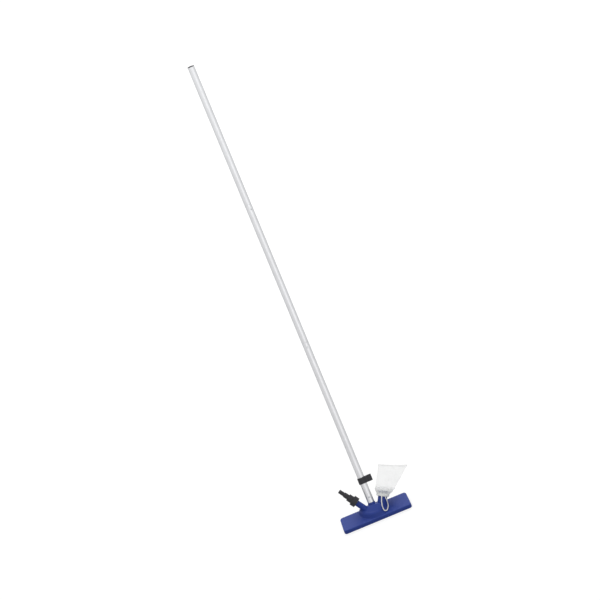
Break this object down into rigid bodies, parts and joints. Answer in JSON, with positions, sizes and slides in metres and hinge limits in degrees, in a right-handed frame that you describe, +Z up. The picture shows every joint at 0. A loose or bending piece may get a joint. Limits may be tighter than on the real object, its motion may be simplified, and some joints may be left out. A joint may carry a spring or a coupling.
{
  "type": "pool vacuum head with pole",
  "caption": "Garden-hose jet pool vacuum: flat moulded suction head with a domed hub, hose adaptor, outlet with mesh debris bag, and a long sectional pole with a hose clip.",
  "frame": {"origin": "middle of the head's underside, on the face of the middle glide rib that slides on the pool floor", "axes": "+X along the head towards the bag's side, +Y the way the pole leans, +Z up from the pool floor"},
  "size_m": [0.3636, 1.2502, 1.7288],
  "materials": {
    "blue_plastic": "moulded, satin",
    "charcoal_plastic": "moulded, fine grain",
    "aluminium": "drawn and anodised",
    "steel": "plain",
    "brass": "turned",
    "rubber": "matte",
    "mesh_cloth": "fine woven mesh",
    "cord": "braided"
  },
  "bodies": {
    "head_and_pole": {"head_shell": "blue_plastic", "base_plate": "blue_plastic", "base_screws": "steel", "pole_spigot": "blue_plastic", "outlet_tube": "blue_plastic", "inlet_pipe": "blue_plastic", "jet_nozzles": "brass", "inlet_washer": "rubber", "adaptor_tail": "charcoal_plastic", "pole_lower": "aluminium", "pole_middle": "aluminium", "pole_upper": "aluminium", "pole_end_cap": "charcoal_plastic", "head_spring": "steel", "lower_spring": "steel", "upper_spring": "steel"},
    "collar": {"adaptor_collar": "charcoal_plastic"},
    "clip": {"hose_clip": "charcoal_plastic"},
    "bag": {"debris_bag": "mesh_cloth", "bag_seam": "mesh_cloth", "bag_hem": "mesh_cloth", "hem_drawstring": "cord", "drawstring_loop": "cord"},
    "head_button": {"head_button": "steel"},
    "lower_button": {"lower_button": "steel"},
    "upper_button": {"upper_button": "steel"}
  },
  "joints": [
    {"name": "collar_turn", "type": "hinge", "parent": "head_and_pole", "child": "collar", "pos_m": [-0.06527, 0.04232, 0.08044], "axis": [-0.5592, 0.4755, 0.6791], "range_deg": [0, 1080]},
    {"name": "clip_slide", "type": "slide", "parent": "head_and_pole", "child": "clip", "axis": [0, 0.5736, 0.8191], "range_m": [-0.025, 0.55]},
    {"name": "bag_pull", "type": "slide", "parent": "head_and_pole", "child": "bag", "axis": [0.4848, 0.5017, 0.7164], "range_m": [0, 0.045]},
    {"name": "head_button_press", "type": "slide", "parent": "head_and_pole", "child": "head_button", "axis": [0, 0.8191, -0.5736], "range_m": [0, 0.003], "stiffness_N_per_m": 1500, "springref_m": -0.002},
    {"name": "lower_button_press", "type": "slide", "parent": "head_and_pole", "child": "lower_button", "axis": [0, 0.8191, -0.5736], "range_m": [0, 0.003], "stiffness_N_per_m": 1500, "springref_m": -0.002},
    {"name": "upper_button_press", "type": "slide", "parent": "head_and_pole", "child": "upper_button", "axis": [-0.4226, 0.7424, -0.5198], "range_m": [0, 0.003], "stiffness_N_per_m": 1500, "springref_m": -0.002}
  ]
}
